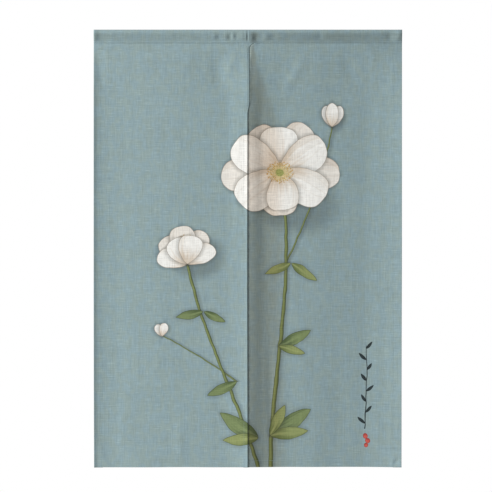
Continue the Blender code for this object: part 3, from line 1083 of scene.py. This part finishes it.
def stitch_row(route):
    """Stitches along a route of points on the cloth. A stitch is a tube along its chord, lifted in
    the middle by an arch (1 - t squared) and narrowed to its ends. Returns points and faces."""
    steps = np.linalg.norm(np.diff(route, axis=0), axis=1)
    walk = np.hstack([[0], np.cumsum(steps)])
    count = int(walk[-1] / STITCH_PITCH)
    middle = (np.arange(count) + 0.5) * walk[-1] / count

    def at(where):
        return np.stack([np.interp(where, walk, route[:, i]) for i in range(3)], axis=-1)

    start, end = at(middle - STITCH_LENGTH / 2), at(middle + STITCH_LENGTH / 2)
    t = np.array([-1, -0.6, 0, 0.6, 1])
    narrow = np.array([0.35, 0.9, 1, 0.9, 0.35])
    along = end - start
    along /= np.linalg.norm(along, axis=1, keepdims=True)
    ahead = np.array([0, -1, 0])
    aside = np.cross(along, ahead)
    turn = np.arange(SIDES) * 2 * np.pi / SIDES
    centre = (start + end)[:, None] / 2 + (end - start)[:, None] / 2 * t[:, None]
    centre = centre + ahead * (THREAD * (0.65 * (1 - t**2) - 0.35))[:, None]
    spread = np.cos(turn)[:, None] * aside[:, None, None] + np.sin(turn)[:, None] * ahead
    points = centre[:, :, None] + spread * (THREAD / 2 * narrow)[None, :, None, None]
    ring = np.arange(SIDES)
    after = (ring + 1) % SIDES
    quads = np.stack([ring, after, after + SIDES, ring + SIDES], axis=-1)
    quads = (quads + SIDES * np.arange(RINGS - 1)[:, None, None]).reshape(-1, 4)
    first = SIDES * RINGS * np.arange(count)[:, None]
    sides = (quads + first[:, None]).reshape(-1, 4)
    heads = (ring[::-1] + first).tolist()
    tails = (ring + SIDES * (RINGS - 1) + first).tolist()
    return points.reshape(-1, 3), sides.tolist() + heads + tails


def stitches(name, *routes):
    """One piece of all the stitches along its routes."""
    points, faces = [], []
    for route in routes:
        row_points, row_faces = stitch_row(route)
        base = sum(len(item) for item in points)
        points.append(row_points)
        faces += [[index + base for index in face] for face in row_faces]
    obj = new_piece(name, np.concatenate(points), faces, [THREAD_MATERIAL])
    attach(obj, "root")


def on_cloth(place, forward, drop):
    return np.stack([place, -forward(place[None], drop[None])[0], -drop], axis=-1)


def down_route(across, forward, head, foot):
    drop = np.linspace(head, foot, 400)
    return on_cloth(across(drop), forward, drop)


def across_route(drop, forward, start, end):
    place = np.linspace(start, end, 300)
    return on_cloth(place, forward, drop - listed_line(FOOT_LINE, place))


THREAD_MATERIAL = make_thread_material()
head_stitch = POCKET_HEIGHT - STITCH_INSET
pocket_end = np.array([HALF_WIDTH - HEAD_END, 0, 0])
pocket_middle = np.array([0, -POCKET_FOOT_OUT, -head_stitch])
pocket_route = np.linspace(pocket_middle - pocket_end, pocket_middle + pocket_end, 300)
stitches("pocket_stitches", pocket_route)
top = POCKET_HEIGHT + HEAD_END
hem_foot = HUNG_HEIGHT - ROW_END
foot_stitch = HUNG_HEIGHT - FOOT_HEM + STITCH_INSET
outer_inset = OUTER_HEM - STITCH_INSET
slit_inset = SLIT_HEM - STITCH_INSET
stitches(
    "left_stitches",
    down_route(lambda drop: left_side(drop) + outer_inset, left_forward, top, hem_foot),
    down_route(lambda drop: slit_line(drop) - slit_inset, left_forward, top, hem_foot),
    across_route(foot_stitch, left_forward, ROW_END - HALF_WIDTH, -ROW_END),
)
stitches(
    "right_stitches",
    down_route(lambda drop: right_side(drop) - outer_inset, right_forward, top, hem_foot),
    down_route(lambda drop: right_slit(drop) + slit_inset, right_forward, SEWN_DOWN_TO, hem_foot),
    across_route(foot_stitch, right_forward, ROW_END, HALF_WIDTH - ROW_END),
)
seam_route = down_route(lambda drop: slit_line(drop) - ROW_END, left_forward, top, SEWN_DOWN_TO)
stitches("seam_stitches", seam_route)

# Studio
#    A plain pale floor well below the foot, a white surround, a large soft light from the upper left
#    and a long lens square to the curtain.

FRAME_WIDTH = 1.3486
CAMERA_ACROSS = -0.0051
CAMERA_DROP = 0.593
LENS_MM = 200
SENSOR_MM = 36
FLOOR_DROP = 1.95
KEY_PLACE = (-6.4, -3.5, 0.9)
KEY_SIZE = 3
KEY_WATTS = 742

bpy.ops.mesh.primitive_plane_add(size=3, location=(0, 0, -FLOOR_DROP))
floor = bpy.context.object
floor.name = "floor"
floor_material, floor_tree, floor_shader = new_material("pale floor")
floor_place = floor_tree.nodes.new("ShaderNodeTexCoord").outputs["Object"]
floor_tone = mix(noise(floor_place, (0.4, 0.4), 3), (0.8, 0.8, 0.79, 1), (0.84, 0.84, 0.83, 1))
join(floor_tone, floor_shader.inputs["Base Color"])
floor_shader.inputs["Roughness"].default_value = 0.8
floor.data.materials.append(floor_material)

world = bpy.data.worlds.new("studio")
bpy.context.scene.world = world
world.use_nodes = True
world_tree = world.node_tree
world_tree.nodes.clear()


def background(colour, strength):
    node = world_tree.nodes.new("ShaderNodeBackground")
    node.inputs["Color"].default_value = colour
    node.inputs["Strength"].default_value = strength
    return node.outputs[0]


seen = background((1, 1, 1, 1), 1)
fill = background((0.93, 0.97, 1, 1), 0.24)
is_camera = world_tree.nodes.new("ShaderNodeLightPath").outputs["Is Camera Ray"]
either = add_node("MixShader", {0: is_camera, 1: fill, 2: seen})
world_out = world_tree.nodes.new("ShaderNodeOutputWorld")
join(either.outputs[0], world_out.inputs["Surface"])

key_data = bpy.data.lights.new("key", "AREA")
key_data.shape = "DISK"
key_data.size = KEY_SIZE
key_data.energy = KEY_WATTS
key_data.color = (1, 0.985, 0.96)
key = bpy.data.objects.new("key", key_data)
key.location = KEY_PLACE
towards_curtain = Vector((0, 0, -HUNG_HEIGHT / 2)) - key.location
key.rotation_euler = towards_curtain.to_track_quat("-Z", "Y").to_euler()
bpy.context.scene.collection.objects.link(key)

camera_data = bpy.data.cameras.new("camera")
camera_data.lens = LENS_MM
camera_data.sensor_width = SENSOR_MM
camera = bpy.data.objects.new("camera", camera_data)
camera.location = (CAMERA_ACROSS, -FRAME_WIDTH * LENS_MM / SENSOR_MM, -CAMERA_DROP)
camera.rotation_euler = (np.pi / 2, 0, 0)
bpy.context.scene.collection.objects.link(camera)
bpy.context.scene.camera = camera
bpy.context.scene.view_settings.view_transform = "Standard"
